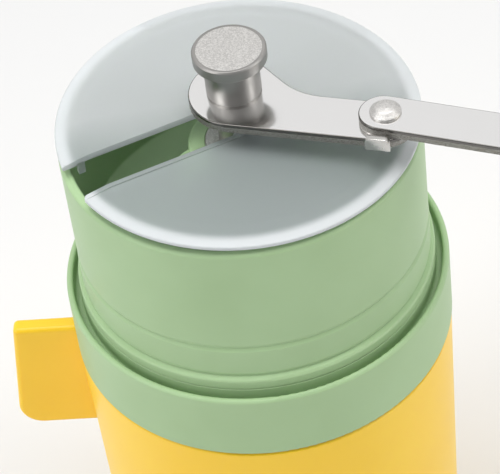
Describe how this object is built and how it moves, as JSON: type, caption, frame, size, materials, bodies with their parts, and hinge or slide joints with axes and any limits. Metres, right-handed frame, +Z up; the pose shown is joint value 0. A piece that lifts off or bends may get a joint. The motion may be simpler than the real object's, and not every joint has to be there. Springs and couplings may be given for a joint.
{
  "type": "hand crank coffee grinder",
  "caption": "Hand crank coffee grinder with a straight-sided bean hopper, slotted lid, folding steel crank and a handled cup that collects the grounds.",
  "frame": {"origin": "middle of the round foot, on the surface the grinder stands on", "axes": "+Z up along the mill shaft; the crank points roughly along +X, the cup's handle roughly along -X"},
  "size_m": [0.1669, 0.0991, 0.2074],
  "materials": {
    "cup_plastic": "satin moulded",
    "silicone": "matte",
    "seal_silicone": "matte",
    "mill_plastic": "fine satin moulded",
    "acetal": "machined",
    "carrier_plastic": "moulded",
    "burr_ceramic": "unglazed",
    "stainless": "pressed",
    "stainless_satin": "satin",
    "lid_plastic": "translucent, fine matte",
    "spring_steel": "drawn wire",
    "stainless_polished": "polished sheet",
    "stainless_turned": "turned",
    "grip_plastic": "satin moulded",
    "cap_plastic": "moulded"
  },
  "bodies": {
    "cup": {"cup": "cup_plastic", "base_pad": "silicone", "cup_seal": "seal_silicone"},
    "head": {"collar": "mill_plastic", "hopper": "mill_plastic", "hopper_hub": "mill_plastic", "screw_pillars": "mill_plastic", "upper_bush": "acetal", "lower_bush": "acetal", "burr_carrier": "carrier_plastic", "outer_burr": "burr_ceramic", "burr_clamp": "stainless", "carrier_screws": "stainless"},
    "lid": {"lid": "lid_plastic"},
    "crank": {"drive_shaft": "stainless", "thrust_collar": "stainless_satin", "thrust_washer": "stainless", "preload_spring": "spring_steel", "crank_inner_link": "stainless_polished", "thumb_nut": "stainless_turned", "pivot_rivet": "stainless_turned", "pivot_washer": "stainless"},
    "burr_set": {"inner_burr": "burr_ceramic", "key_plate": "stainless"},
    "adjuster": {"adjustment_knob": "carrier_plastic"},
    "outer_arm": {"crank_outer_link": "stainless_polished", "grip_spindle": "stainless_turned"},
    "grip": {"grip_knob": "grip_plastic", "grip_cap": "cap_plastic"}
  },
  "joints": [
    {"name": "head_lift", "type": "slide", "parent": "cup", "child": "head", "axis": [0, 0, 1], "range_m": [0, 0.06]},
    {"name": "lid_turn", "type": "hinge", "parent": "head", "child": "lid", "pos_m": [0, 0, 0.1667], "axis": [0, 0, 1], "continuous": true},
    {"name": "crank_spin", "type": "hinge", "parent": "head", "child": "crank", "pos_m": [0, 0, 0.172], "axis": [0, 0, 1], "continuous": true},
    {"name": "arm_fold", "type": "hinge", "parent": "crank", "child": "outer_arm", "pos_m": [0.03007, -0.01602, 0.172], "axis": [0, 0, 1], "range_deg": [0, 150]},
    {"name": "grip_spin", "type": "hinge", "parent": "outer_arm", "child": "grip", "pos_m": [0.09564, -0.04576, 0.172], "axis": [0, 0, 1], "continuous": true},
    {"name": "burr_shift", "type": "slide", "parent": "crank", "child": "burr_set", "axis": [0, 0, -1], "range_m": [0, 0.0016], "deforming": ["preload_spring"]},
    {"name": "adjuster_turn", "type": "hinge", "parent": "burr_set", "child": "adjuster", "pos_m": [0, 0, 0.09], "axis": [0, 0, 1], "range_deg": [0, 540]}
  ],
  "couplings": [
    {"joint": "burr_shift", "follows": "adjuster_turn", "m_per_rad": 0.00012732}
  ]
}
